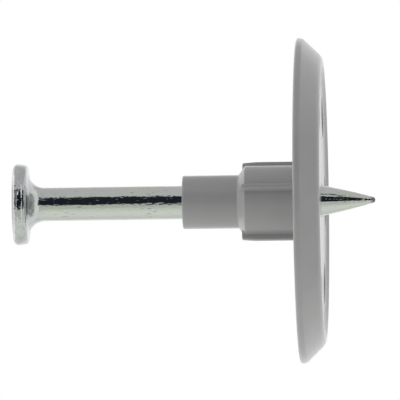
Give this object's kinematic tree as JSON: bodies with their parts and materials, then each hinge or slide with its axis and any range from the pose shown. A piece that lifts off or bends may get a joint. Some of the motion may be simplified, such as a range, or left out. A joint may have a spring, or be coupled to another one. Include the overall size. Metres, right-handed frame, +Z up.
{
  "type": "drive pin wall anchor",
  "caption": "Headed steel drive pin held by friction in a moulded plastic plate washer with a ribbed guide collar and sleeve, for fixing membranes or boards to a wall.",
  "frame": {"origin": "on the pin's axis, in the plane of the plate's front rim, which lies on the wall", "axes": "+X along the pin's axis into the wall, towards the point; +Z up in the pose of the picture; the head is on the -X side"},
  "size_m": [0.0401, 0.036, 0.036],
  "materials": {
    "zinc_plated_steel": "zinc-plated steel, softly bright, with fine drawing marks and a faint yellow-green tint",
    "moulded_plastic": "satin moulded polyethylene, neutral light grey"
  },
  "bodies": {
    "washer": {"washer": "moulded_plastic"},
    "pin": {"drive_pin": "zinc_plated_steel"}
  },
  "joints": [
    {"name": "pin_slide", "type": "slide", "parent": "washer", "child": "pin", "axis": [1, 0, 0], "range_m": [-0.014, 0.0155]}
  ]
}
